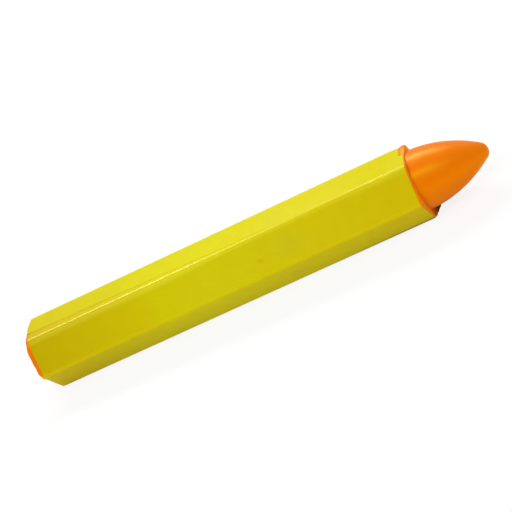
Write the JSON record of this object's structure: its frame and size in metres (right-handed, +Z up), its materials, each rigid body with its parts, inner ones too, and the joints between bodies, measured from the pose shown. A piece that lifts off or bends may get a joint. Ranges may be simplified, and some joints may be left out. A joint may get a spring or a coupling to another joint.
{
  "type": "tire marking crayon",
  "caption": "Hexagonal wax crayon for marking tires, with a round blunt-tipped nose and a glued yellow paper wrapper.",
  "frame": {"origin": "under the middle of the crayon, on the surface that it lies on", "axes": "+X along the crayon towards its nose, +Z up"},
  "size_m": [0.1194, 0.0178, 0.016],
  "materials": {
    "wax": "satin cast wax, orange",
    "wrapper_paper": "gloss-coated, yellow"
  },
  "bodies": {
    "root": {"crayon_stick": "wax", "paper_wrapper": "wrapper_paper"}
  },
  "joints": []
}
